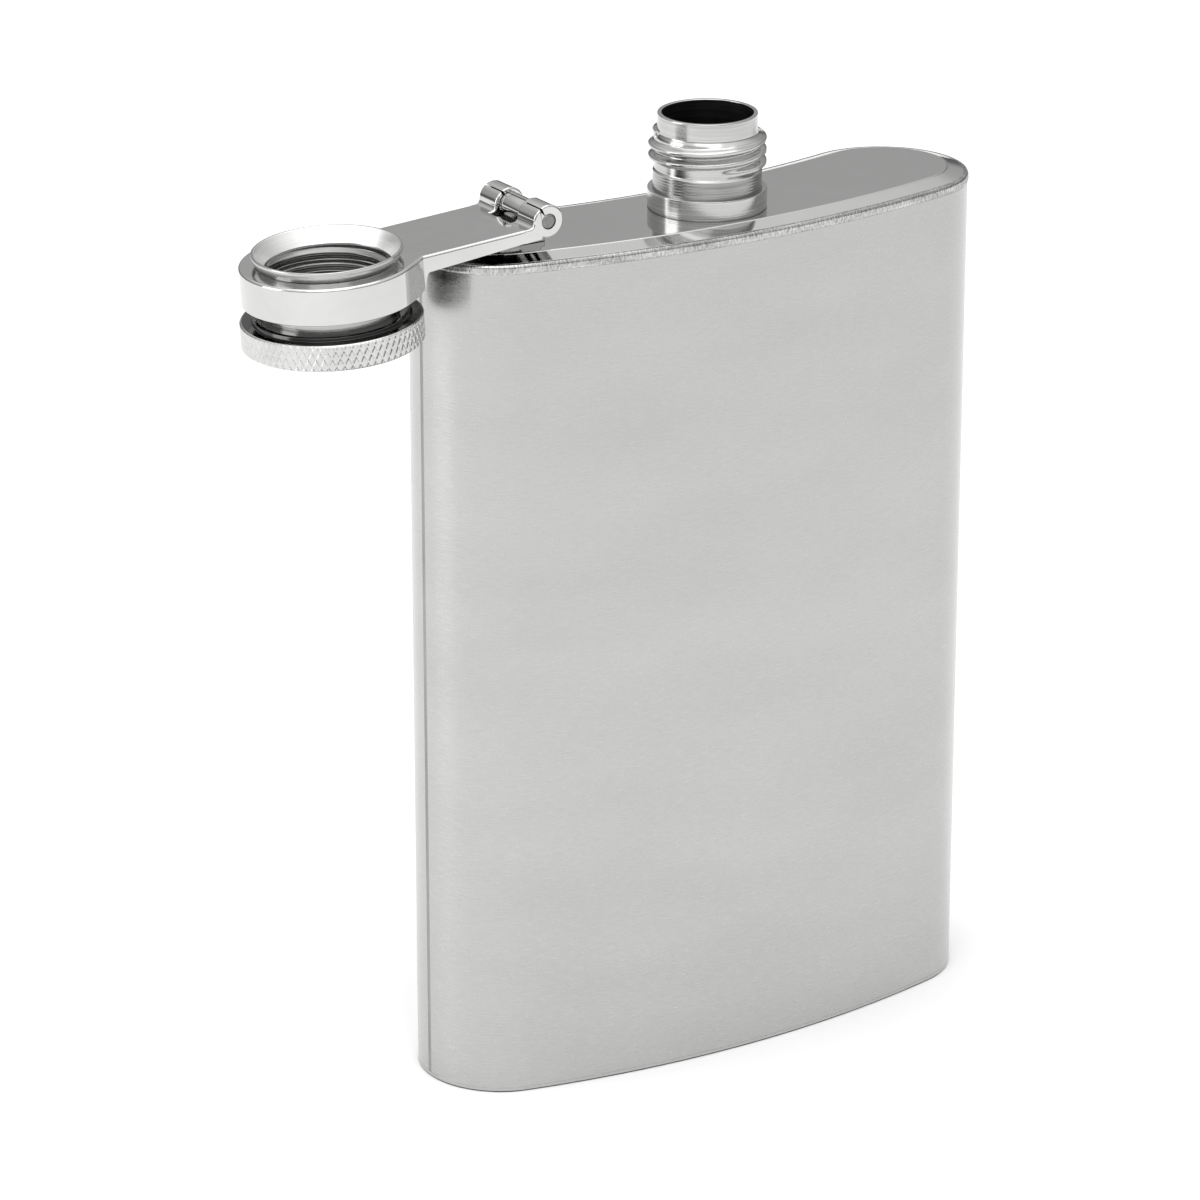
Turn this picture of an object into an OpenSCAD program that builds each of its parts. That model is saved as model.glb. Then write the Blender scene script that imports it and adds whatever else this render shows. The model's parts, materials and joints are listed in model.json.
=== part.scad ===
// Curved hip flask with a captive screw cap on a hinged arm.
// Millimetres. Origin: centre of the base, on the ground plane. +X right, -Y front (outer side), +Z up.
// The arm is drawn open, lying over the left shoulder with the cap mouth up.

/* [Body] */
// Overall width of the body
body_w = 92; // [76:0.5:112]
// Thickness of the body, front to back
body_t = 25; // [20:0.5:32]
// Height of the flat top plate above the ground
body_h = 128.2; // [100:0.5:160]
// Radius of the hip curve at mid-thickness
hip_r = 143.5; // [110:0.5:260]
// Wall sheet thickness
wall_t = 0.5; // [0.4:0.05:1]
// Top and bottom plate thickness
plate_t = 0.7; // [0.5:0.05:1.2]
// Width of the sloping band round the top plate
slope_w = 3; // [1.5:0.1:5]
// Drop of the sloping band
slope_drop = 0.7; // [0.3:0.05:1.5]
// Width of the ground weld along each side seam
seam_w = 0.8; // [0.4:0.1:1.6]
// Height of the weld bead under the top plate's edge
bead_h = 1.4; // [0.8:0.1:2.5]
// How far the bead stands proud of the wall
bead_out = 0.12; // [0:0.02:0.3]

/* [Neck] */
// Distance of the neck axis behind the middle of the base
neck_y = 0.5; // [0:0.1:2]
// Bore radius
neck_bore_r = 6.6; // [5:0.1:9]
// Wall of the plain part above the thread
neck_lip_t = 0.64; // [0.4:0.02:1]
// Extra radius of the plain part below the thread
neck_step = 0.64; // [0.3:0.02:1]
// Height of the rim above the top plate
neck_h = 13.9; // [10:0.1:18]
// Height where the thread zone starts
thread_lo = 5.6; // [4:0.1:8]
// Height where the thread zone ends
thread_hi = 11.8; // [8:0.1:13]
// Length of the neck below the top plate's upper face
neck_tail = 2.2; // [1.2:0.1:4]
// Height of the collar round the foot of the neck
collar_h = 2.87; // [1.5:0.05:4]
// Thickness of the collar
collar_t = 0.77; // [0.4:0.05:1.5]

/* [Thread] */
// Thread pitch, right-hand
pitch = 1.7; // [1.5:0.1:3]
// Angle where the neck's thread starts, from +X
thread_turn = 250; // [0:10:350]
// Depth of the neck's rolled thread
ridge_h = 0.9; // [0.5:0.05:1.2]
// Radial gap between the neck's crest and the cap's root
root_gap = 0.25; // [0.15:0.05:0.5]
// Depth of the cap's thread
cap_ridge_h = 0.7; // [0.4:0.05:1]
// How far the cap screws down
cap_travel = 1.5; // [0.5:0.1:2.5]
// Gap left between gasket and rim when screwed down
seal_gap = 0.02; // [0.01:0.01:0.1]

/* [Hinge] */
// Height of the hinge axis above the top plate
hinge_h = 4.4; // [3.4:0.1:7]
// Hinge pin radius
pin_r = 1.1; // [0.8:0.05:1.6]
// Running clearance between pin and arm knuckles
pin_gap = 0.05; // [0.02:0.01:0.1]
// Radius of the arm's knuckles
knuckle_r = 2.4; // [2:0.05:3.2]
// Radius of the bracket's fixed knuckle
mid_r = 1.85; // [1.7:0.05:3]
// Length of the fixed knuckle
mid_len = 5.5; // [4:0.1:8]
// Side gap between fixed and moving knuckles
side_gap = 0.1; // [0.05:0.05:0.4]
// Gap between arm and stop when open
stop_gap = 0.05; // [0.02:0.01:0.2]

/* [Arm] */
// Distance from hinge axis to ring centre
arm_len = 31.5; // [26:0.5:40]
// Width of the strap
arm_w = 15; // [11:0.5:18]
// Sheet thickness of the arm
arm_t = 1.05; // [0.7:0.05:1.4]
// How far the arm's upper face lies below the hinge axis
arm_drop = 0.5; // [0.3:0.05:1]
// Height of the ring's skirt
skirt_h = 5.3; // [4:0.1:7]
// Depth of the side flange at the hinge end
flange_lo = 1.8; // [1.4:0.1:2.4]
// Depth of the side flange at the ring end
flange_hi = 2.6; // [2:0.1:3.4]
// Slope of the open arm below level
open_tilt = 3.5; // [0:0.5:6]
// Play between cap shank and ring hole
ring_play = 0.4; // [0.2:0.05:0.8]

/* [Cap] */
// Thickness of the sleeve wall behind the thread
sleeve_t = 0.65; // [0.5:0.05:1]
// Height the lip stands above the ring
lip_h = 1.7; // [1:0.1:2.5]
// Overhang of the lip past the shank
lip_over = 1.15; // [0.8:0.05:1.8]
// Depth of the conical mouth
mouth_d = 2.2; // [1:0.1:3]
// Height of the knurled head
head_h = 4; // [3:0.1:6]
// How far the head stands out past the shank
head_over = 3.4; // [2.6:0.1:5]
// Thickness of the head's end wall
head_t = 0.8; // [0.6:0.05:1.5]
// Gasket thickness
gasket_t = 0.7; // [0.5:0.05:1.5]

/* [Hidden] */
$fn = 96;
steel = [0.78, 0.78, 0.79];
bright = [0.86, 0.86, 0.87];

// Small fixed details
chamfer = 0.2;      // broken edge of a turned piece
fine_edge = 0.12;   // broken edge inside the rim
lap = 0.1;          // gap between a plate's edge and the wall's inner face
relief = 0.25;      // depth of the thread's root below the plain neck
run_in = 0.45;      // thread's ends, in pitches from the ends of its zone
ring_land = 2.6;    // ring from its hole to its rim
lip_land = 0.35;    // flat on top of the cap's lip
window_gap = 1.3;   // strap window beyond the knuckles
pin_end = 0.1;      // pin beyond each side of the strap
foot_t = 0.8;       // bracket foot
foot_out = 0.8;     // foot beyond the web on the neck side
web_t = 3;          // bracket web under its knuckle
stop_t = 1.2;       // length of the stop ledge
slit_t = 0.1;       // slit where the knuckles' sheet ends
ramp = 0.8;         // slope from the flange down to the ring's skirt

// Plan outline: an arc of constant thickness with round ends
half_t = body_t / 2;
arc_a = round(asin((body_w / 2 - half_t) / hip_r) * 1000) / 1000;
end_x = hip_r * sin(arc_a);
end_y = hip_r * (1 - cos(arc_a));
seam_a = round(seam_w / 2 / half_t * 180000 / PI) / 1000;
wall_top = body_h - slope_drop - bead_h;

// Neck
lip_r = neck_bore_r + neck_lip_t;
neck_r = lip_r + neck_step;
root_r = neck_r - relief;
crest_r = root_r + ridge_h;
collar_r = neck_r + collar_t;
ridge_n = (thread_hi - thread_lo) / pitch - 2 * run_in;
ridge_z0 = thread_lo + run_in * pitch;

// Cap radii, each from the neck
cap_root = crest_r + root_gap;
cap_crest = cap_root - cap_ridge_h;
shank_r = cap_root + sleeve_t;
hole_r = shank_r + ring_play;
ring_r = hole_r + ring_land;
cap_lip_r = shank_r + lip_over;
head_r = shank_r + head_over;
mouth_r = cap_lip_r - lip_land;

// Arm frame: x from the hinge to the ring, z along the cap axis towards its mouth
reach = max(arm_len, (body_w / 2 + head_r + 3) / 2);
arm_z = -arm_drop;
lip_z = arm_z + lip_h;
rim_z = hinge_h - neck_h;
gasket_z = rim_z - cap_travel - seal_gap;
floor_z = gasket_z - gasket_t;
head_z = floor_z - head_t;
shoulder_z = head_z + head_h;
mid_half = mid_len / 2;
knuckle_in = mid_half + side_gap;
window_x = max(mid_r, knuckle_r) + window_gap;
pin_len = arm_w + 2 * pin_end;

// Ridge sections: [radius, height], the first and last points buried in the wall
neck_half = [for (p = [[lip_r - relief, 0.45], [root_r + 0.1, 0.31],
  [crest_r - chamfer, 0.21], [crest_r, 0.1]]) [p[0], p[1] * pitch]];
neck_ridge = there_and_back(neck_half);
neck_fade = 45;
cap_half = [for (p = [[cap_root + chamfer, 0.4], [cap_root - 0.1, 0.25], [cap_crest, 0.09]])
  [p[0], p[1] * pitch]];
cap_ridge = there_and_back(cap_half);
cap_fade = 50;

// Cap thread: half a pitch from the neck's, so the two mesh when the arm is closed
mesh_z = hinge_h - (ridge_z0 - pitch * thread_turn / 360 + pitch / 2);
cap_thread_hi = lip_z - mouth_d - run_in * pitch;
cap_thread_lo = gasket_z + run_in * pitch;
cap_start_z = mesh_z - pitch * floor((mesh_z - cap_thread_lo) / pitch);
cap_turns = (cap_thread_hi - cap_start_z) / pitch;

// ---- helpers ----

// Moves to one end of the outline; two steps keep the joint with the arc exact
module at_end(side) {
  v = [side * end_x, end_y, 0];
  coarse = [for (c = v) round(c * 1000) / 1000];
  translate(coarse) translate(v - coarse) children();
}

// Sweeps a half-section (x = distance out from the mid-line) round the whole plan outline
module slot_sweep() {
  translate([0, hip_r, 0]) rotate_extrude(angle = 2 * arc_a, start = 270 - arc_a)
    translate([hip_r, 0]) { children(); mirror([1, 0]) children(); }
  at_end(1) rotate_extrude(angle = 180, start = 270 + arc_a) children();
  at_end(-1) rotate_extrude(angle = 180, start = 90 - arc_a) children();
}

module wall_section() {
  translate([half_t - wall_t, plate_t]) square([wall_t, wall_top - plate_t]);
}

// One stamped half of the wall: side = 1 front, -1 back
module half_shell(side) {
  translate([0, hip_r, 0]) rotate_extrude(angle = 2 * arc_a, start = 270 - arc_a)
    translate([hip_r, 0]) { if (side > 0) wall_section(); else mirror([1, 0]) wall_section(); }
  turn = side > 0 ? 90 - arc_a - seam_a : 90 + arc_a - seam_a;
  at_end(1)
    rotate_extrude(angle = turn, start = side > 0 ? 270 + arc_a : seam_a) wall_section();
  at_end(-1)
    rotate_extrude(angle = turn, start = side > 0 ? 180 + seam_a : 90 - arc_a) wall_section();
}

// A helical ridge; prof = [radius, height] points, first and last buried in the wall
module helix_ridge(prof, z0, turns, fade) {
  m = len(prof);
  n = ceil(turns * 40);
  rb = prof[0][0];
  pts = [for (i = [0:n]) let (a = 360 * turns * i / n,
      f = max(0.02, min(1, a / fade, (360 * turns - a) / fade)))
    for (p = prof) let (r = rb + (p[0] - rb) * f)
      [r * cos(a), r * sin(a), z0 + pitch * a / 360 + p[1]]];
  sides = [for (i = [0:n - 1]) for (k = [0:m - 1])
    let (a = i * m + k, b = i * m + (k + 1) % m, c = b + m, d = a + m)
      each [[a, b, c], [a, c, d]]];
  polyhedron(points = pts, convexity = 6,
    faces = concat([[for (k = [0:m - 1]) m - 1 - k]], sides, [[for (k = [0:m - 1]) n * m + k]]));
}

function reversed(list) = [for (i = [len(list) - 1:-1:0]) list[i]];

// A ridge's whole section from its lower half
function there_and_back(half) = concat([for (p = half) [p[0], -p[1]]], reversed(half));

// Places children drawn in the arm frame at the open rest pose
module in_arm() {
  translate([-reach, neck_y, body_h + hinge_h]) rotate([0, -open_tilt, 0]) rotate([0, 0, 180])
    children();
}

module at_ring() { in_arm() translate([reach, 0, 0]) children(); }

// ---- body ----

module front_shell() { color(steel) half_shell(1); }

module back_shell() { color(steel) half_shell(-1); }

module side_weld(mid, side) {
  at_end(side) rotate_extrude(angle = 2 * seam_a, start = mid - seam_a) wall_section();
}

module left_side_weld() { color(steel) side_weld(180, -1); }

module right_side_weld() { color(steel) side_weld(0, 1); }

module top_plate() {
  flat = half_t - slope_w;
  edge = half_t - wall_t - lap;
  low = body_h - slope_drop;
  color(bright) difference() {
    slot_sweep() polygon([[0, body_h], [flat, body_h], [edge, low], [edge, low - plate_t],
      [flat, body_h - plate_t], [0, body_h - plate_t]]);
    translate([0, neck_y, body_h - 2 * plate_t]) cylinder(r = neck_r, h = 3 * plate_t);
  }
}

module top_weld_bead() {
  edge = half_t - wall_t - lap;
  top = body_h - slope_drop;
  color(steel) slot_sweep() polygon([[edge, wall_top], [half_t, wall_top],
    [half_t + bead_out, wall_top + 1.5 * chamfer], [half_t + bead_out, top - 2 * chamfer],
    [half_t - chamfer / 2, top - chamfer / 4], [edge, top]]);
}

module bottom_plate() {
  color(steel) slot_sweep() square([half_t - wall_t, plate_t]);
}

module bottom_weld_bead() {
  color(steel) slot_sweep() polygon([[half_t - wall_t, 0], [half_t - fine_edge, 0],
    [half_t, fine_edge], [half_t, plate_t], [half_t - wall_t, plate_t]]);
}

module neck_tube() {
  color(bright) translate([0, neck_y, body_h]) {
    rotate_extrude() polygon([[neck_bore_r, -neck_tail], [neck_r, -neck_tail],
      [neck_r, thread_lo - relief / 2], [root_r, thread_lo + relief / 2],
      [root_r, thread_hi - 2 * neck_step], [lip_r, thread_hi - neck_step], [lip_r, neck_h - chamfer],
      [lip_r - chamfer, neck_h], [neck_bore_r + fine_edge, neck_h],
      [neck_bore_r, neck_h - fine_edge]]);
    rotate([0, 0, thread_turn]) helix_ridge(neck_ridge, ridge_z0, ridge_n, neck_fade);
  }
}

module neck_collar() {
  color(bright) translate([0, neck_y, body_h]) rotate_extrude()
    polygon([[neck_r, 0], [collar_r - fine_edge, 0], [collar_r - fine_edge, fine_edge],
      [collar_r, chamfer], [collar_r, collar_h - chamfer], [collar_r - chamfer, collar_h],
      [neck_r, collar_h]]);
}

// ---- hinge ----

module hinge_bracket() {
  web = web_t / 2;
  stop_x = window_x + 1.5 * chamfer;
  color(bright) translate([-reach, neck_y, body_h]) difference() {
    union() {
      translate([0, mid_half, hinge_h]) rotate([90, 0, 0]) cylinder(r = mid_r, h = mid_len);
      translate([0, mid_half, 0]) rotate([90, 0, 0]) linear_extrude(mid_len)
        polygon([[web + foot_out, 0], [web + foot_out, foot_t], [web + chamfer, foot_t + 3 * chamfer],
          [web, hinge_h - pin_r], [-web, hinge_h - pin_r], [-web - chamfer, foot_t + 3 * chamfer],
          [-web - foot_out, foot_t], [-stop_x, foot_t], [-stop_x, stop_z(stop_x)],
          [-stop_x - stop_t, stop_z(stop_x + stop_t)], [-stop_x - stop_t, 0]]);
    }
    translate([0, mid_half + 1, hinge_h]) rotate([90, 0, 0]) cylinder(r = pin_r, h = mid_len + 2);
  }
}

// Height of the stop's top face, just under the open arm, at a distance x from the hinge axis
function stop_z(x) = hinge_h - x * tan(open_tilt) - (arm_drop + arm_t + stop_gap) / cos(open_tilt);

module hinge_pin() {
  color(steel) translate([-reach, neck_y + pin_len / 2, body_h + hinge_h]) rotate([90, 0, 0])
    cylinder(r = pin_r, h = pin_len);
}

// ---- arm and cap, drawn open ----

module flange() {
  end = reach - sqrt(ring_r * ring_r - arm_w * arm_w / 4);
  rotate([90, 0, 0]) linear_extrude(arm_t)
    polygon([[knuckle_r / 2, arm_z], [end, arm_z], [end, arm_z - skirt_h + ramp],
      [end - ramp, arm_z - flange_hi], [knuckle_r / 2, arm_z - flange_lo]]);
}

module cap_arm() {
  gap_a = asin((arm_w / 2 - arm_t) / ring_r);
  color(bright) in_arm() difference() {
    union() {
      translate([0, -arm_w / 2, arm_z - arm_t]) cube([reach - hole_r, arm_w, arm_t]);
      translate([reach, 0, arm_z - arm_t]) cylinder(r = ring_r, h = arm_t);
      translate([reach, 0, 0]) rotate_extrude(angle = 360 - 2 * gap_a, start = 180 + gap_a)
        translate([ring_r - arm_t, arm_z - skirt_h]) square([arm_t, skirt_h]);
      translate([0, -arm_w / 2 + arm_t, 0]) flange();
      translate([0, arm_w / 2, 0]) flange();
      translate([0, arm_w / 2, 0]) rotate([90, 0, 0]) cylinder(r = knuckle_r, h = arm_w);
    }
    translate([0, arm_w, 0]) rotate([90, 0, 0]) cylinder(r = pin_r + pin_gap, h = 2 * arm_w);
    translate([-knuckle_r - 1, -knuckle_in, -knuckle_r - 1])
      cube([knuckle_r + 1 + window_x, 2 * knuckle_in, 2 * knuckle_r + 2]);
    translate([pin_r, -arm_w, arm_z - slit_t]) cube([knuckle_r + slit_t - pin_r, 2 * arm_w, 1.5 * slit_t]);
    translate([reach, 0, -knuckle_r - 1]) cylinder(r = hole_r, h = 2 * knuckle_r + 2);
  }
}

module cap_sleeve() {
  color(bright) at_ring() {
    rotate_extrude() polygon([[mouth_r, lip_z], [cap_lip_r - chamfer, lip_z],
      [cap_lip_r, lip_z - chamfer], [cap_lip_r, arm_z + chamfer], [cap_lip_r - chamfer, arm_z],
      [shank_r, arm_z], [shank_r, floor_z], [cap_root, floor_z],
      [cap_root, lip_z - mouth_d - chamfer], [cap_root + fine_edge, lip_z - mouth_d]]);
    helix_ridge(reversed(cap_ridge), cap_start_z, cap_turns, cap_fade);
  }
}

module cap_head() {
  color(bright) at_ring() rotate_extrude()
    polygon([[0, head_z], [head_r - 2 * chamfer, head_z], [head_r, head_z + 2 * chamfer],
      [head_r, shoulder_z - chamfer], [head_r - chamfer, shoulder_z], [shank_r, shoulder_z],
      [shank_r, floor_z], [0, floor_z]]);
}

module cap_gasket() {
  color([0.92, 0.92, 0.9]) at_ring() translate([0, 0, floor_z])
    cylinder(r = cap_root - chamfer, h = gasket_t);
}

front_shell();
back_shell();
left_side_weld();
right_side_weld();
top_plate();
top_weld_bead();
bottom_plate();
bottom_weld_bead();
neck_tube();
neck_collar();
hinge_bracket();
hinge_pin();
cap_arm();
cap_sleeve();
cap_head();
cap_gasket();
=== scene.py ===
import json
import math

import bmesh
import bpy
import numpy as np
from mathutils import Matrix, Vector


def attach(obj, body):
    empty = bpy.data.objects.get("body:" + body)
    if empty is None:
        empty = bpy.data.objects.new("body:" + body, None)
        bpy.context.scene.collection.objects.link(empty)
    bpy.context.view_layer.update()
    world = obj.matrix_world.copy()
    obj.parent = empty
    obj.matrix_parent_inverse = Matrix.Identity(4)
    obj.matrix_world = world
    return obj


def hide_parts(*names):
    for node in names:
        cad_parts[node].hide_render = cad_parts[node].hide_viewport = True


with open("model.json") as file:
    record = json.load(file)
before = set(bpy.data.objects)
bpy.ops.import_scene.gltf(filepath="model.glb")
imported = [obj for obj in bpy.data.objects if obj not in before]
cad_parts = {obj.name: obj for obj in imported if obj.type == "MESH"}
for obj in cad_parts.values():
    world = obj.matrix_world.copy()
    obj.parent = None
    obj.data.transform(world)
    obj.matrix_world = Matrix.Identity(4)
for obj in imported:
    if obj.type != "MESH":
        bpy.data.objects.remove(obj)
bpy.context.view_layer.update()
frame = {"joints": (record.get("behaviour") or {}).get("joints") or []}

# Sizes in millimetres, as in the part's source.
MM = 0.001
HALF_T = 12.5            # half the body's thickness
HIP_R = 143.5            # hip curve at mid-thickness
ARC = math.radians(13.5)  # half the angle of the hip curve
WALL_T = 0.5             # wall sheet
PLATE_T = 0.7            # top and bottom plates
WALL_TOP = 126.1         # upper end of the walls
BAND_LOW = 127.5         # outer edge of the top plate's sloping band
PLATE_TOP = 128.2        # flat of the top plate
PLATE_EDGE = 11.9        # outer edge of the top plate, from the mid-line
FLAT_EDGE = 9.5          # edge of the plate's flat, from the mid-line
SEAM_HALF = 0.4          # half the width of a side weld
BEAD_OUT = 0.12          # how far the top bead stands proud
NECK_Y = 0.5             # the neck's axis, at x = 0
PITCH = 1.7              # of the thread on the neck and in the cap
UV = "surface_mm"        # name of the UV map, which holds lengths along the surface in mm


# ---- mesh helpers ----

def eased(corners, steps=4):
    """A closed section from (a, b, r) corners, each turned into a small curve that starts r mm away."""
    section = []
    for k, (a, b, r) in enumerate(corners):
        here = np.array([a, b], float)
        before = np.array(corners[k - 1][:2], float) - here
        after = np.array(corners[(k + 1) % len(corners)][:2], float) - here
        if not r:
            section.append(here)
            continue
        p = here + before * min(r / np.linalg.norm(before), 0.45)
        q = here + after * min(r / np.linalg.norm(after), 0.45)
        for t in np.linspace(0, 1, steps):
            section.append(p * (1 - t) ** 2 + here * 2 * t * (1 - t) + q * t * t)
    return np.array(section)


def length_along(points):
    """Distance covered at each point of a line."""
    steps = np.linalg.norm(np.diff(points, axis=0), axis=1)
    return np.concatenate([[0], np.cumsum(steps)])


def skin(name, rows, u, v, ring=False, loop=True):
    """A mesh from rows of points in mm. ring joins the last row to the first, loop the last column to the
    first. u and v say how far along each row and each column lies, in mm, and become the UV map."""
    n, m = rows.shape[:2]
    index = np.arange(n * m).reshape(n, m)
    far_n, far_m = (n if ring else n - 1), (m if loop else m - 1)
    i, j = np.meshgrid(np.arange(far_n), np.arange(far_m), indexing="ij")
    i2, j2 = (i + 1) % n, (j + 1) % m
    faces = np.stack([index[i, j], index[i2, j], index[i2, j2], index[i, j2]], -1).reshape(-1, 4)
    corner = np.stack([np.stack([u[a], v[b]], -1) for a, b in
                       ((i, j), (i + 1, j), (i + 1, j + 1), (i, j + 1))], 2).reshape(-1, 2)
    mesh = bpy.data.meshes.new(name)
    mesh.from_pydata((rows.reshape(-1, 3) * MM).tolist(), [], faces.tolist())
    mesh.uv_layers.new(name=UV).data.foreach_set("uv", corner.ravel())
    if loop and not ring:
        close(mesh, index[0], index[-1])
    return mesh


def close(mesh, *edges):
    """Fills each open edge, given as the numbers of its points in order, with one face."""
    bm = bmesh.new()
    bm.from_mesh(mesh)
    bm.verts.ensure_lookup_table()
    for edge in edges:
        bm.faces.new([bm.verts[k] for k in edge])
    bm.to_mesh(mesh)
    bm.free()


def weld(mesh):
    """Joins points that fall together, such as those on an axis, and turns every face outward."""
    bm = bmesh.new()
    bm.from_mesh(mesh)
    bmesh.ops.remove_doubles(bm, verts=bm.verts, dist=1e-7)
    bmesh.ops.recalc_face_normals(bm, faces=bm.faces)
    bm.to_mesh(mesh)
    bm.free()


def in_scene(name, data):
    """An object that shows a mesh, a lamp or a camera."""
    made = bpy.data.objects.new(name, data)
    bpy.context.scene.collection.objects.link(made)
    return made


def piece(name, mesh, body, nodes, finish):
    """Puts a mesh in the scene as the piece that stands for CAD nodes."""
    weld(mesh)
    mesh.shade_smooth()
    mesh.set_sharp_from_angle(angle=math.radians(38))
    made = in_scene(name, mesh)
    made.data.materials.append(finish)
    weights = made.modifiers.new("even shading", "WEIGHTED_NORMAL")
    weights.weight = 80
    weights.keep_sharp = True
    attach(made, body)
    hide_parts(*nodes)
    return made


def refinish(made, finishes, choose, place=Matrix()):
    """Adds finishes to a piece. choose takes the middle of a face, in mm in the frame place, and gives the
    number of its finish: 0 for the piece's first one, then these."""
    for finish in finishes:
        made.data.materials.append(finish)
    back = place.inverted()
    for face in made.data.polygons:
        face.material_index = int(choose(back @ face.center / MM))


# ---- plan outline of the body ----

END_X, END_Y = HIP_R * math.sin(ARC), HIP_R * (1 - math.cos(ARC))
HALF_PI = math.pi / 2
# Each leg: centre, distance from it to the mid-line, first and last outward direction
LEGS = [((END_X, END_Y), 0, 0, HALF_PI + ARC),
        ((0, HIP_R), -HIP_R, HALF_PI + ARC, HALF_PI - ARC),
        ((-END_X, END_Y), 0, HALF_PI - ARC, 3 * HALF_PI - ARC),
        ((0, HIP_R), HIP_R, 3 * HALF_PI - ARC, 3 * HALF_PI + ARC),
        ((END_X, END_Y), 0, 3 * HALF_PI + ARC, 4 * HALF_PI)]
LEG_ENDS = np.concatenate([[0], np.cumsum([abs((k + HALF_T) * (b - a)) for _, k, a, b in LEGS])])
ROUND = LEG_ENDS[-1]     # length of the wall all the way round, mm


def plan(s, out):
    """Points of the plan at lengths s along the wall and distances out from the mid-line."""
    s = np.asarray(s) % ROUND
    leg = np.clip(np.searchsorted(LEG_ENDS, s, "right") - 1, 0, len(LEGS) - 1)
    centre = np.array([c for c, *_ in LEGS])[leg]
    k, a, b = np.array([rest for _, *rest in LEGS])[leg].T
    turn = a + (b - a) * (s - LEG_ENDS[leg]) / np.diff(LEG_ENDS)[leg]
    reach = k[:, None] + out
    return (centre[:, None, :] + reach[..., None] *
            np.stack([np.cos(turn), np.sin(turn)], -1)[:, None, :])


def lengths_round(first, last, step):
    """Lengths along the wall from first to last, with a row at each leg's end."""
    stops = [first, *[e for e in LEG_ENDS if first < e < last], last]
    return np.unique(np.concatenate([np.linspace(a, b, max(2, math.ceil((b - a) / step) + 1))
                                     for a, b in zip(stops, stops[1:])]).round(6))


def swept_rows(section, s, shift=0):
    """Rows of points where a section of (out, height) points stands at the lengths s along the plan; shift
    moves single points outward."""
    out = np.broadcast_to(section[:, 0], (len(s), len(section))) + shift
    height = np.broadcast_to(section[:, 1], out.shape)
    return np.concatenate([plan(s, out), height[..., None]], -1)


def swept(name, section, s, ring, shift=0):
    """Sweeps a closed section along the plan, all the way round if ring is set."""
    v = length_along(np.vstack([section, section[:1]]))
    u = np.append(s, s[0] + ROUND) if ring else s
    return skin(name, swept_rows(section, s, shift), u, v, ring=ring)


# ---- turned pieces ----

def turned(name, rings, place, sides=192):
    """A turned piece: rings is a closed section of (radius, height) points, or a function that gives the
    radii for a column of angles and the heights. place puts its axis where it belongs."""
    angle = np.arange(sides) * 2 * math.pi / sides
    if callable(rings):
        radius, height = rings(angle[:, None])
    else:
        radius, height = np.broadcast_to(rings[:, 0], (sides, len(rings))), rings[:, 1]
    height = np.broadcast_to(height, radius.shape)
    rows = np.stack([radius * np.cos(angle)[:, None], radius * np.sin(angle)[:, None], height], -1)
    around = np.append(angle, 2 * math.pi) * radius.max()
    middle = np.stack([radius.mean(0), height.mean(0)], -1)
    v = length_along(np.vstack([middle, middle[:1]]))
    mesh = skin(name, rows, around, v, ring=True)
    mesh.transform(place)
    return mesh


def rolled_thread(angle, z, first, start, turns, depth, crest, foot, fade):
    """Height of a thread above its root: one rounded ridge that begins at the height first and the angle
    start, in turns, and rises and ends over fade turns. crest and foot are half its width at its top and
    at its root."""
    height = np.zeros(np.broadcast(angle, z).shape)
    for k in range(math.ceil(turns + start) + 1):
        t = angle / (2 * math.pi) + k - start
        side = np.clip((foot - abs(z - first - PITCH * t)) / (foot - crest), 0, 1)
        run = np.clip(np.minimum(t, turns - t) / fade, 0, 1)
        height = np.maximum(height, depth * side ** 2 * (3 - 2 * side) * run)
    return height


# ---- finishes ----

def tint(code):
    """sRGB hex to linear colour."""
    parts = [int(code[k:k + 2], 16) / 255 for k in (1, 3, 5)]
    return [c / 12.92 if c <= 0.04045 else ((c + 0.055) / 1.055) ** 2.4 for c in parts] + [1]


def add(tree, kind, inputs=None, **settings):
    """Adds a node; each input is a constant or another node's output."""
    node = tree.nodes.new("ShaderNode" + kind)
    for name, value in settings.items():
        setattr(node, name, value)
    for socket, value in (inputs or {}).items():
        if isinstance(value, bpy.types.NodeSocket):
            tree.links.new(value, node.inputs[socket])
        else:
            node.inputs[socket].default_value = value
    return node


def blank(owner):
    """The empty node tree of a material or a world."""
    owner.use_nodes = True
    owner.node_tree.nodes.clear()
    return owner.node_tree


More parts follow.
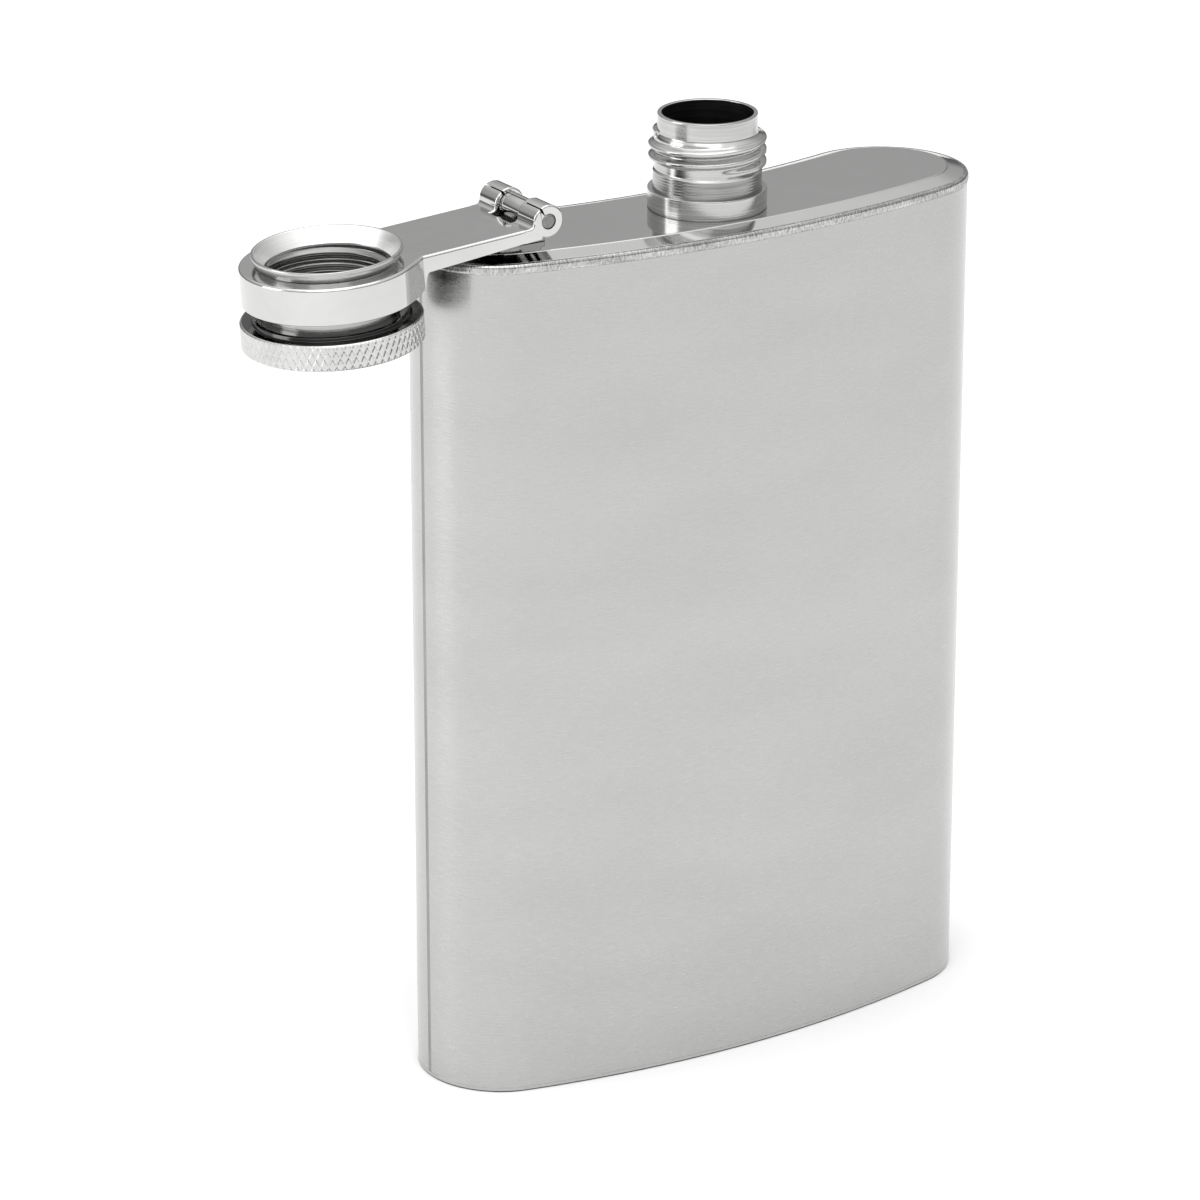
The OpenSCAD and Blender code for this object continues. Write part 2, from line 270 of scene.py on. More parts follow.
def steel(name, light, dark, rough, spread, grain, mottle, relief, follows="Object", anisotropy=0.0,
          tilt=0.0, blend=0.5):
    """A stainless finish. grain is the length, width and depth in mm of one mark, mottle the size in mm of
    the slow patches, light and dark the colours between which both move, and blend the patches' share of
    that. rough and spread are the roughness and how far the marks change it, relief the depth of the marks
    in mm, tilt their angle in degrees. The marks lie in the object's space or follow the surface (UV)."""
    finish = bpy.data.materials.new(name)
    tree = blank(finish)
    if follows == "Object":
        place = add(tree, "TexCoord").outputs["Object"]
        unit = 1 / MM
    else:
        place = add(tree, "UVMap", uv_map=UV).outputs["UV"]
        unit = 1
    marks_at = add(tree, "Mapping", {"Vector": place, "Rotation": (0, 0, math.radians(tilt)),
                                     "Scale": [unit / g for g in grain]}, vector_type="POINT")
    marks = add(tree, "TexNoise", {"Vector": marks_at.outputs[0], "Scale": 1.0, "Detail": 3.0,
                                   "Roughness": 0.6})
    patch_at = add(tree, "Mapping", {"Vector": place, "Scale": [unit / m for m in mottle]})
    patches = add(tree, "TexNoise", {"Vector": patch_at.outputs[0], "Scale": 1.0, "Detail": 2.0})
    both = add(tree, "Mix", {"Factor": blend, "A": marks.outputs[0], "B": patches.outputs[0]})
    level = add(tree, "MapRange", {"Value": both.outputs[0], "From Min": 0.3, "From Max": 0.7})
    colour = add(tree, "Mix", {"Factor": level.outputs[0], "A": tint(dark), "B": tint(light)},
                 data_type="RGBA")
    gloss = add(tree, "MapRange", {"Value": marks.outputs[0], "From Min": 0.25, "From Max": 0.75,
                                   "To Min": rough - spread, "To Max": rough + spread})
    inputs = {"Base Color": colour.outputs["Result"], "Metallic": 1.0, "Roughness": gloss.outputs[0]}
    if anisotropy:
        # Turned a quarter, so that the blur runs across the marks
        inputs["Anisotropic"] = anisotropy
        inputs["Anisotropic Rotation"] = 0.25
        inputs["Tangent"] = add(tree, "Tangent", direction_type="UV_MAP", uv_map=UV).outputs[0]
    inputs["Normal"] = add(tree, "Bump", {"Height": marks.outputs[0], "Strength": 1.0,
                                          "Distance": relief * MM}).outputs[0]
    shader = add(tree, "BsdfPrincipled", inputs)
    add(tree, "OutputMaterial", {"Surface": shader.outputs[0]})
    return finish


# Stainless sheet drawn over a fine abrasive belt: short near-level scratches that blur what it mirrors,
# mostly upward and downward. The belt's 0.1 mm scratches are drawn 0.24 mm wide, so that they show.
BRUSHED = steel("belt_brushed_stainless", "#BFBFBE", "#B2B2B1", 0.26, 0.035, (2.2, 0.24, 1),
                mottle=(34, 12, 1), relief=0.004, follows="UV", anisotropy=0.6, tilt=1, blend=0.35)
# Seam weld ground flush by hand: scratches run along the seam, across the belt's.
GROUND = steel("ground_weld_stainless", "#A3A3A2", "#7F7F7E", 0.34, 0.06, (0.15, 4, 1),
               mottle=(2, 12, 1), relief=0.006, follows="UV")
# Plate polished with a buffing wheel: a mirror with the faintest haze and slow swells in the sheet.
MIRROR = steel("mirror_polished_stainless", "#D0D0CF", "#C8C8C7", 0.085, 0.02, (6, 6, 6),
               mottle=(22, 22, 22), relief=0.004)
# Weld bead left rippled and only touched by the buffing wheel: bright crests, duller between them.
BEAD = steel("buffed_weld_bead", "#E2E2E1", "#6E6E6D", 0.24, 0.08, (0.30, 0.9, 0.5),
             mottle=(7, 1.2, 2), relief=0.03, follows="UV", blend=0.35)
# Turned on a lathe with a fine feed: thin rings round the piece that catch the light one by one.
TURNED = steel("fine_turned_stainless", "#CFCFCE", "#A2A2A1", 0.19, 0.06, (40, 0.28, 1),
               mottle=(12, 3, 1), relief=0.012, follows="UV", blend=0.25, anisotropy=0.3)
# The cap's conical mouth, faced with a fine cut: bright, with a satin haze that spreads each light.
FACED = steel("faced_mouth_stainless", "#F8F8F7", "#E4E4E3", 0.34, 0.06, (40, 0.25, 1),
              mottle=(12, 3, 1), relief=0.008, follows="UV", blend=0.25)
# Turned with a coarser feed and no polish, at the neck's foot: greyer, with rings that show.
FEED_MARKED = steel("feed_marked_stainless", "#B4B4B3", "#7C7C7B", 0.24, 0.07, (30, 0.34, 1),
                    mottle=(7, 2, 1), relief=0.02, follows="UV", blend=0.3, anisotropy=0.3)
# Threads cut inside the cap and left from the tap: dull flanks with fine rings, painted dark grey as shade
# inside the cap.
TAPPED_AND_SHADED = steel("tapped_bore_painted_shade", "#A2A2A1", "#6C6C6B", 0.26, 0.07, (30, 0.3, 1),
               mottle=(9, 2, 1), relief=0.01, follows="UV", blend=0.3)
# The head's shoulder under the ring, mirror polished and painted near black: painted shade for the groove
# between head and ring.
SHADED = steel("painted_shade_shoulder_stainless", "#5A5A59", "#3C3C3B", 0.14, 0.04, (30, 0.3, 1),
               mottle=(9, 2, 1), relief=0.004, follows="UV", blend=0.4)
# Pressed sheet polished after forming: bright, with light hairlines from handling.
POLISHED = steel("polished_pressed_stainless", "#D0D0CF", "#C6C6C5", 0.07, 0.02, (6, 1.5, 1.5),
                 mottle=(11, 11, 11), relief=0.001, blend=0.7)
# Knurled by rolling, then tumbled: bright flats, slightly frosted flanks.
KNURLED = steel("rolled_knurl_stainless", "#D4D4D3", "#BCBCBB", 0.16, 0.06, (0.5, 0.5, 0.5),
                mottle=(6, 6, 6), relief=0.006, follows="UV")
# Wire sheared to length: a torn grey end, rough to the light.
SHEARED = steel("sheared_pin_wire", "#A9A9A8", "#777776", 0.48, 0.10, (0.35, 0.35, 0.35),
                mottle=(1.2, 1.2, 1.2), relief=0.03)
# Steel painted near black: painted shade under the hinge, on its foot and stop, and the painted shadow line
# along the bottom weld's underside, where the flask meets the floor.
NEAR_BLACK_SHADE = steel("painted_shade_near_black", "#343434", "#1E1E1E", 0.36, 0.08, (1, 1, 1), mottle=(3, 3, 3),
              relief=0.01)
# The neck's bore, painted dark grey: painted shade inside the hole, so it reads as a hole.
PAINTED_SHADE_BORE = steel("painted_shade_bore", "#3A3A3A", "#202020", 0.5, 0.08, (20, 0.4, 1),
               mottle=(5, 5, 1), relief=0.01, follows="UV")


def silicone_finish():
    """Moulded white silicone: milky, soft to the light, with a faint orange-peel texture."""
    finish = bpy.data.materials.new("moulded_white_silicone")
    tree = blank(finish)
    place = add(tree, "TexCoord").outputs["Object"]
    peel = add(tree, "TexNoise", {"Vector": place, "Scale": 2.5 / MM, "Detail": 2.0})
    shade = add(tree, "TexNoise", {"Vector": place, "Scale": 0.25 / MM, "Detail": 2.0})
    colour = add(tree, "Mix", {"Factor": shade.outputs[0], "A": tint("#E2E1DC"), "B": tint("#F1F0EC")},
                 data_type="RGBA")
    bump = add(tree, "Bump", {"Height": peel.outputs[0], "Strength": 0.6, "Distance": 0.02 * MM})
    shader = add(tree, "BsdfPrincipled", {
        "Base Color": colour.outputs["Result"], "Roughness": 0.55, "IOR": 1.41,
        "Subsurface Weight": 0.15, "Subsurface Radius": (1, 1, 1), "Subsurface Scale": 0.4 * MM,
        "Normal": bump.outputs[0]})
    add(tree, "OutputMaterial", {"Surface": shader.outputs[0]})
    return finish


# ---- body ----

def build_walls():
    """The two curved halves of the wall and the ground seams that join them."""
    wall = eased([(HALF_T - WALL_T, PLATE_T, 0), (HALF_T, PLATE_T, 0.04), (HALF_T, WALL_TOP, 0.04),
                  (HALF_T - WALL_T, WALL_TOP, 0)])
    half = ROUND / 2
    for name, node, first, last in (("back_wall", "back_shell", SEAM_HALF, half - SEAM_HALF),
                                    ("front_wall", "front_shell", half + SEAM_HALF, ROUND - SEAM_HALF)):
        piece(name, swept(name, wall, lengths_round(first, last, 0.8), False), "flask",
              [node], BRUSHED)
    # Ground seams: dished a hair below the wall, as a hand-held wheel leaves them
    for name, node, middle in (("left_seam", "left_side_weld", half),
                               ("right_seam", "right_side_weld", ROUND)):
        s = np.linspace(middle - SEAM_HALF, middle + SEAM_HALF, 9)
        dish = 0.03 * np.cos(np.linspace(-HALF_PI, HALF_PI, 9))[:, None] * (wall[:, 0] > HALF_T - 0.3)
        piece(name, swept(name, wall, s, False, -dish), "flask", [node], GROUND)


def uneven(s, knots):
    """Values at the lengths s that run through knots spread evenly round the wall."""
    return np.interp(s, np.linspace(0, ROUND, len(knots) + 1), np.append(knots, knots[0]))


def build_top_bead():
    """The run of weld under the plate's edge: overlapping ripples, deepest towards the right."""
    section = eased([(PLATE_EDGE, WALL_TOP, 0), (HALF_T, WALL_TOP, 0.03),
                     (HALF_T + BEAD_OUT, WALL_TOP + 0.3, 0.14), (HALF_T + BEAD_OUT, BAND_LOW - 0.4, 0.2),
                     (HALF_T - 0.1, BAND_LOW - 0.05, 0.1), (PLATE_EDGE, BAND_LOW, 0)], 6)
    s = np.linspace(0, ROUND, 2401)[:-1]     # close enough to draw each ripple
    spacing, depth = 0.46, 0.13      # of the ripples, mm
    draw = np.random.default_rng(7)
    strength = uneven(s, draw.uniform(0.25, 1.0, 60))
    wander = 0.25 * uneven(s, draw.uniform(-1, 1, 120))
    x = plan(s, np.full((len(s), 1), HALF_T))[:, 0, 0]
    right = np.clip((x + 20) / 40, 0.35, 1)
    lean = 0.45 * (section[:, 1] - WALL_TOP)
    phase = (s[:, None] + wander[:, None] + lean) / spacing
    ripple = np.abs(np.sin(math.pi * phase)) - 1
    proud = (section[:, 0] > HALF_T + 0.02) * 1.0
    shift = depth * ripple * (strength * right)[:, None] * proud
    piece("top_bead", swept("top_bead", section, s, True, shift), "flask",
          ["top_weld_bead"], BEAD)


def build_bottom():
    """The bottom weld, brushed with the wall, and the plate inside it."""
    bead = eased([(HALF_T - WALL_T, 0, 0), (HALF_T, 0, 0.32), (HALF_T, PLATE_T, 0.03),
                  (HALF_T - WALL_T, PLATE_T, 0)], 6)
    s = lengths_round(0, ROUND, 0.8)[:-1]
    bead_piece = piece("bottom_bead", swept("bottom_bead", bead, s, True), "flask",
                       ["bottom_weld_bead"], BRUSHED)
    # Its lowest 0.16 mm take the near-black painted shade: the shadow line where the flask meets the floor
    refinish(bead_piece, [NEAR_BLACK_SHADE], lambda at: at.z < 0.16)
    # Plate: a rim with a shallow pressed step, swept round, and one flat face inside it on each side
    step, flat = 0.12, 8
    rim = eased([(flat, step, 0), (9.6, step, 0.5), (10.1, 0, 0.3), (HALF_T - WALL_T, 0, 0.02),
                 (HALF_T - WALL_T, PLATE_T, 0), (flat, PLATE_T, 0)], 5)
    mesh = skin("bottom_plate_piece", swept_rows(rim, s), np.append(s, ROUND), length_along(rim),
                ring=True, loop=False)
    first = np.arange(len(s)) * len(rim)
    close(mesh, first, first + len(rim) - 1)
    piece("bottom_plate_piece", mesh, "flask", ["bottom_plate"], BRUSHED)


def build_top_plate():
    """The plate with its neck hole, a flat, a fine pressed crease and the sloping band down to the bead."""
    edge = eased([(FLAT_EDGE - 0.5, PLATE_TOP, 0), (FLAT_EDGE - 0.14, PLATE_TOP, 0.08),
                  (FLAT_EDGE - 0.02, PLATE_TOP - 0.22, 0.04), (FLAT_EDGE + 0.10, PLATE_TOP - 0.05, 0.06),
                  (PLATE_EDGE, BAND_LOW, 0.04), (PLATE_EDGE, BAND_LOW - PLATE_T, 0),
                  (FLAT_EDGE, PLATE_TOP - PLATE_T, 0)], 5)
    s = lengths_round(0, ROUND, 0.5)[:-1]
    band = swept_rows(edge, s)
    axis = np.array([0, NECK_Y])
    ray = band[:, 0, :2] - axis
    hole = axis + NECK_R * ray / np.linalg.norm(ray, axis=1)[:, None]
    rim = [np.column_stack([hole, np.full(len(s), z)]) for z in (PLATE_TOP - PLATE_T, PLATE_TOP)]
    rows = np.concatenate([np.stack(rim, 1), band], 1)
    # The flat's width changes from place to place, so its lengths here are only rough
    v = np.concatenate([[0, PLATE_T], PLATE_T + 6 + length_along(edge), [20]])
    mesh = skin("top_plate_piece", rows, np.append(s, ROUND), v, ring=True)
    piece("top_plate_piece", mesh, "flask", ["top_plate"], MIRROR)


# ---- neck ----

# Radii, and heights above the top plate's flat
NECK_R, THREAD_R, SPOUT_R, BORE_R, COLLAR_R = 7.88, 7.63, 7.24, 6.6, 8.65
NECK_LOW, COLLAR_TOP, ZONE_LOW, ZONE_TOP, NECK_TOP = -2.2, 2.87, 5.5, 10.52, 13.9


def neck_rings(angle):
    """Radii of the neck at each angle, from its lower end up the outside, over the rim and down the bore."""
    low = []
    for z in np.arange(NECK_LOW, ZONE_LOW - 0.05, 0.1):
        feed = 0.5 + 0.5 * math.sin(z * 2 * math.pi / 0.42)     # tool marks 0.42 mm apart
        low.append((NECK_R - 0.022 * feed * (2.9 < z < 5.3), z))
    zone = [(NECK_R - (NECK_R - THREAD_R) * min(1, max(0, (z - ZONE_LOW) / 0.3)), z)
            for z in np.arange(ZONE_LOW, 10.5, 0.07)]
    spout = eased([(THREAD_R, ZONE_TOP, 0), (SPOUT_R, 11.16, 0.15), (SPOUT_R, NECK_TOP, 0.18),
                   (BORE_R, NECK_TOP, 0.14), (BORE_R, NECK_LOW, 0)], 6)
    plain = np.array([(SPOUT_R, z) for z in np.arange(11.4, 13.6, 0.08)])
    under_plain = 7                     # points of spout that lie below the plain ones
    rings = np.vstack([low, zone, spout[:under_plain], plain, spout[under_plain:]])
    lift = rolled_thread(angle, rings[:, 1], first=6.365, start=250 / 360, turns=2.747, depth=0.9,
                         crest=0.12, foot=0.80, fade=0.125)
    outside = np.arange(len(rings)) < len(low) + len(zone) + under_plain
    base = np.broadcast_to(rings[:, 0], lift.shape)
    return np.where(outside & (lift > 0), np.maximum(base, THREAD_R + lift), base), rings[:, 1]


def neck_finish(at):
    """Painted shade in the bore, a lathe's coarse feed below the thread, fine turning elsewhere."""
    if math.hypot(at.x, at.y) < BORE_R + 0.03 and at.z < NECK_TOP - 0.2:
        return 1
    return 2 * int(at.z < ZONE_LOW - 0.1)


def build_neck():
    """The threaded neck, which goes through the plate, and the collar round its foot."""
    on_plate = Matrix.Translation(Vector((0, NECK_Y, PLATE_TOP)) * MM)
    neck = piece("neck_piece", turned("neck_piece", neck_rings, on_plate, 288), "flask",
                 ["neck_tube"], TURNED)
    refinish(neck, [PAINTED_SHADE_BORE, FEED_MARKED], neck_finish, on_plate)
    collar = eased([(NECK_R, 0, 0), (8.49, 0, 0.03), (8.49, 0.1, 0.03), (COLLAR_R, 0.16, 0.05),
                    (COLLAR_R, COLLAR_TOP, 0.16), (NECK_R, COLLAR_TOP, 0.05)], 6)
    piece("collar_piece", turned("collar_piece", collar, on_plate), "flask",
          ["neck_collar"], TURNED)


# ---- cap ----

joints = {j["name"]: j for j in frame["joints"]}
RING = Vector(joints["cap_turn"]["pos_m"])
HINGE = Vector(joints["arm_hinge"]["pos_m"])
CAP_AXIS = Vector(joints["cap_turn"]["axis"]).normalized()
# The frame of cap and arm: z along the cap's axis towards its mouth, x away from the hinge
AWAY = Vector((0, 1, 0)).cross(CAP_AXIS) * -1
TURN = Matrix((AWAY, CAP_AXIS.cross(AWAY), CAP_AXIS)).transposed().to_4x4()
CAP_PLACE = Matrix.Translation(RING) @ TURN
ARM_PLACE = Matrix.Translation(HINGE) @ TURN

# Heights along the cap's axis: the lip's top and underside, the head's shoulder and end, the floor inside
LIP_Z, UNDER_LIP, SHOULDER_Z, HEAD_Z, FLOOR_Z = 1.2, -0.5, -8.52, -12.52, -11.72
# Radii: the thread's root, the shank that turns in the ring, the lip, the head
CAP_ROOT, SHANK_R, CAP_LIP_R, HEAD_R = 8.78, 9.43, 10.58, 12.83
CONE_LOW_R, CONE_TOP_R = 8.86, 10.22     # the cap's conical mouth
KNURL_STARTS = 72                        # grooves round the head, each way


def sleeve_rings(angle):
    """Radii of the cap's sleeve: up the threaded bore, over the conical mouth and down the shank."""
    bore = np.array([(CAP_ROOT, z) for z in np.arange(FLOOR_Z, LIP_Z - 2.5, 0.08)])
    mouth = eased([(CAP_ROOT, LIP_Z - 2.45, 0), (CONE_LOW_R, LIP_Z - 2.2, 0.1),
                   (CONE_TOP_R, LIP_Z, 0.12), (CAP_LIP_R, LIP_Z, 0.16), (CAP_LIP_R, LIP_Z - 0.55, 0.2),
                   (9.85, UNDER_LIP, 0.14), (SHANK_R, UNDER_LIP, 0.1), (SHANK_R, FLOOR_Z, 0)], 6)
    rings = np.vstack([bore, mouth])
    lift = rolled_thread(angle, rings[:, 1], first=-10.134, start=0, turns=4.92, depth=0.7, crest=0.10,
                         foot=0.66, fade=0.14)
    inside = np.arange(len(rings)) < len(bore)
    return np.where(inside, rings[:, 0] - lift, rings[:, 0]), rings[:, 1]


def head_rings(angle):
    """Radii of the cap's head: a closed end, a rolled diamond knurl and a polished shoulder."""
    low = eased([(0, HEAD_Z, 0), (HEAD_R - 1.2, HEAD_Z, 0.3), (HEAD_R - 1.0, HEAD_Z, 0.05),
                 (HEAD_R - 0.35, HEAD_Z + 0.12, 0.2), (HEAD_R, HEAD_Z + 0.45, 0)], 5)
    band = np.array([(HEAD_R, z) for z in np.arange(HEAD_Z + 0.5, SHOULDER_Z - 0.24, 0.075)])
    top = eased([(HEAD_R, SHOULDER_Z - 0.22, 0), (HEAD_R - 0.22, SHOULDER_Z, 0.08),
                 (11.2, SHOULDER_Z, 0.12), (11.1, SHOULDER_Z + 0.55, 0.12), (10.6, SHOULDER_Z + 0.6, 0.1),
                 (SHANK_R, SHOULDER_Z + 0.5, 0), (SHANK_R, FLOOR_Z, 0), (0, FLOOR_Z, 0)], 5)
    rings = np.vstack([low, band, top])
    z = rings[:, 1] - HEAD_Z
    # In groove spacings: how far a groove leans per mm of height, and half its width
    lean, half_width = 0.46, 0.15
    cut = np.zeros(np.broadcast(angle, z).shape)
    for way, depth in ((-1, 0.12), (1, 0.09)):
        place = angle * KNURL_STARTS / (2 * math.pi) + way * z * lean
        near = abs(place - np.round(place)) / half_width
        cut = np.maximum(cut, depth * np.clip(1 - near, 0, 1))
    edge = np.clip(np.minimum(z - 0.3, SHOULDER_Z - HEAD_Z - 0.08 - z) / 0.25, 0, 1)
    # The curves next to the band carry the knurl too, where it fades out
    number = np.arange(len(rings))
    knurled = (number >= len(low) - 4) & (number < len(low) + len(band) + 2)
    return rings[:, 0] - cut * edge * knurled, rings[:, 1]


def sleeve_finish(at):
    """The cap's threads as the tap left them, with painted shade inside the cap, its conical mouth faced,
    the rest turned.
    """
    r = math.hypot(at.x, at.y)
    if at.z < LIP_Z - 2.2 and r < CAP_ROOT + 0.1:
        return 1
    # The cone rises by about 1.62 mm for each mm that it widens
    on_cone = at.z > LIP_Z - 2.35 + 1.62 * (r - CONE_LOW_R)
    return 2 * int(LIP_Z - 2.25 < at.z and r < CONE_TOP_R + 0.03 and on_cone)


def build_cap():
    """The cap: a threaded sleeve, a knurled head over its closed end, and the gasket inside."""
    sleeve = piece("sleeve_piece", turned("sleeve_piece", sleeve_rings, CAP_PLACE, 288), "cap",
                   ["cap_sleeve"], TURNED)
    refinish(sleeve, [TAPPED_AND_SHADED, FACED], sleeve_finish, CAP_PLACE)
    head = piece("head_piece", turned("head_piece", head_rings, CAP_PLACE, KNURL_STARTS * 14), "cap",
                 ["cap_head"], KNURLED)
    # The shoulder and hub under the ring take the near-black painted shade
    refinish(head, [SHADED], lambda at: at.z > SHOULDER_Z - 0.1 and math.hypot(at.x, at.y) < HEAD_R - 0.3,
             CAP_PLACE)
    # The gasket lies 0.02 mm off the floor, so that no two faces share a plane
    low, high, dish = FLOOR_Z + 0.02, FLOOR_Z + 0.7, FLOOR_Z + 0.62
    disc = eased([(0, low, 0), (8.58, low, 0.05), (8.58, high, 0.15), (7.2, high, 0.1), (7.0, dish, 0.1),
                  (0, dish, 0)], 5)
    piece("gasket_piece", turned("gasket_piece", disc, CAP_PLACE, 96), "seal",
          ["cap_gasket"], silicone_finish())


# ---- arm, bracket and pin ----

REACH, RING_R, HOLE_R = 31.5, 12.43, 9.83     # hinge to the ring's centre, its outside and its hole
ARM_HALF, SHEET, SKIRT = 7.5, 1.05, 5.3       # half the strap's width, its sheet, the skirt's depth
ARM_TOP = -0.5                                # upper face of the strap, from the hinge axis
WINDOW_X, WINDOW_HALF = 3.7, 2.85             # gap between the arm's knuckles: its end and half width
KNUCKLE_R, PIN_HOLE_R = 2.4, 1.15
PIN_R, PIN_HALF = 1.1, 7.6                    # the pin, half its length


def arc(centre, radius, first, last, count):
    """Points of an arc, angles in degrees."""
    turn = np.radians(np.linspace(first, last, count))
    return np.array(centre) + radius * np.stack([np.cos(turn), np.sin(turn)], -1)


def arm_edge():
    """The arm's outer edge from the hinge round the ring's far side: point, outward direction and depth."""
    corner, bend = 20.55, 0.35       # where the strap's side ends, and the radius of its turn outward
    rows = [(x, ARM_HALF, 0, 1, 1.8 + 0.8 * x / corner) for x in np.linspace(WINDOW_X, corner - 1.0, 14)]
    rows += [(corner - 0.7, ARM_HALF, 0, 1, 2.72), (corner - 0.4, ARM_HALF, 0, 1, 3.3)]
    rows += [(corner - 0.11 + bend * math.sin(a), ARM_HALF + bend * (1 - math.cos(a)),
              -math.sin(a), math.cos(a), 4.6 + 0.4 * a) for a in np.radians([0, 12, 24, 35])]
    # A straight facet from there to the ring, which it touches at this angle
    touch = math.radians(125)
    cos, sin = math.cos(touch), math.sin(touch)
    facet = np.linspace((20.64, 7.563), (REACH + RING_R * cos, RING_R * sin), 5)[1:-1]
    rows += [(x, y, cos, sin, SKIRT) for x, y in facet]
    rows += [(REACH + RING_R * math.cos(a), RING_R * math.sin(a), math.cos(a), math.sin(a), SKIRT)
             for a in np.radians(np.linspace(125, 0, 51))]
    half = np.array(rows)
    mirror = half[-2::-1] * [1, -1, 1, -1, 1]
    return np.vstack([half, mirror])


def arm_sheet():
    """The stamped strap and ring: a flat top with a rounded bend all round and a flange that deepens into
    the ring's skirt."""
    edge = arm_edge()
    radius = 0.42
    bend = arc((-radius, -radius), radius, 90, 0, 7)
    # (outward, up) from the edge; the flange's six lowest points go up from its lower edge instead
    flange = [(0, 0.15), (-0.05, 0.05), (-0.15, 0), (-SHEET + 0.15, 0), (-SHEET + 0.05, 0.05),
              (-SHEET, 0.15)]
    section = np.vstack([[(-1.35, 0)], bend, flange, [(-SHEET, -SHEET - 0.25),
                         (-SHEET - 0.07, -SHEET - 0.07), (-SHEET - 0.25, -SHEET)]])
    first = 1 + len(bend)
    foot = np.zeros(len(section))
    foot[first:first + len(flange)] = 1
    z = ARM_TOP + section[:, 1] - foot * edge[:, 4:5]
    xy = edge[:, None, :2] + edge[:, None, 2:4] * section[None, :, :1]
    rows = np.concatenate([xy, z[..., None]], -1)
    bm = bmesh.new()
    verts = [[bm.verts.new(p * MM) for p in row] for row in rows]
    for a, b in zip(verts, verts[1:]):
        for k in range(len(section) - 1):
            bm.faces.new((a[k], b[k], b[k + 1], a[k + 1]))
    bm.faces.new(verts[0] + verts[-1][::-1])
    around = arc((REACH, 0), HOLE_R, 0, 360, 145)[:-1]
    holes = []
    for column, level in ((0, ARM_TOP), (-1, ARM_TOP - SHEET)):
        hole = [bm.verts.new((x * MM, y * MM, level * MM)) for x, y in around]
        rim = [row[column] for row in verts]
        loops = [bm.edges.get(pair) or bm.edges.new(pair)
                 for ring in (rim, hole) for pair in zip(ring, ring[1:] + ring[:1])]
        bmesh.ops.triangle_fill(bm, edges=loops, use_beauty=True)
        holes.append(hole)
    upper, lower = holes
    for k in range(len(upper)):
        n = (k + 1) % len(upper)
        bm.faces.new((upper[k], upper[n], lower[n], lower[k]))
    return bm


def prism(outline, first, last, soft=9.0, ease=0.1):
    """A solid with an (x, z) outline between two y values. Its end edges are rounded by ease where the
    outline lies farther than soft from the hinge axis."""
    outline = np.asarray(outline, float)
    before = outline - np.roll(outline, 1, 0)
    after = np.roll(outline, -1, 0) - outline
    along = sum(side / np.linalg.norm(side, axis=1)[:, None] for side in (before, after))
    along /= np.linalg.norm(along, axis=1)[:, None]
    turning = np.sign(np.sum(outline[:, 0] * after[:, 1] - outline[:, 1] * after[:, 0]))
    inward = turning * np.stack([-along[:, 1], along[:, 0]], -1)
    inward *= (np.hypot(*outline.T) > soft)[:, None]
    quarter = np.linspace(0, HALF_PI, 6)
    sink, run = ease * (1 - np.sin(quarter)), ease * (1 - np.cos(quarter))
    way = math.copysign(1, last - first)
    stations = [(first + way * r, k) for k, r in zip(sink, run)]
    stations += [(last - way * r, k) for k, r in zip(sink[::-1], run[::-1])]
    bm = bmesh.new()
    rows = [[bm.verts.new((x * MM, y * MM, z * MM)) for x, z in outline + inward * k] for y, k in stations]
    bm.faces.new(rows[0])
    bm.faces.new(rows[-1][::-1])
    for here, there in zip(rows, rows[1:]):
        for k in range(len(outline)):
            n = (k + 1) % len(outline)
            bm.faces.new((here[k], here[n], there[n], there[k]))
    return bm


def curled(radius, slit, leave, back):
    """Outline of sheet curled round the pin: a ring with a slit at the angle slit, which leaves it along
    the points leave and comes back to it at the angle back."""
    gap = 2.6            # half the slit's width, degrees
    return np.vstack([arc((0, 0), radius, slit - gap, leave[0], 16), leave[1],
                      arc((0, 0), radius, back, slit + gap - 360, 48),
                      arc((0, 0), PIN_HOLE_R, slit + gap - 360, slit - gap, 48)])


def united(name, parts, place):
    """One closed mesh from parts that overlap."""
    made = None
    for k, bm in enumerate(parts):
        bmesh.ops.recalc_face_normals(bm, faces=bm.faces)
        mesh = bpy.data.meshes.new(f"{name}_{k}")
        bm.to_mesh(mesh)
        bm.free()
        part = in_scene(mesh.name, mesh)
        if made is None:
            made = part
            continue
        join = made.modifiers.new("join", "BOOLEAN")
        join.operation = "UNION"
        join.solver = "EXACT"
        join.object = part
        view = bpy.context.evaluated_depsgraph_get()
        whole = bpy.data.meshes.new_from_object(made.evaluated_get(view), depsgraph=view)
        made.modifiers.clear()
        made.data = whole
        bpy.data.objects.remove(part)
    whole = made.data
    bpy.data.objects.remove(made)
    whole.name = name
    # The union can drop a sliver where two faces almost meet
    bm = bmesh.new()
    bm.from_mesh(whole)
    bmesh.ops.remove_doubles(bm, verts=bm.verts, dist=0.0005 * MM)
    bmesh.ops.holes_fill(bm, edges=[e for e in bm.edges if e.is_boundary], sides=6)
    bm.to_mesh(whole)
    bm.free()
    whole.transform(place)
    return whole


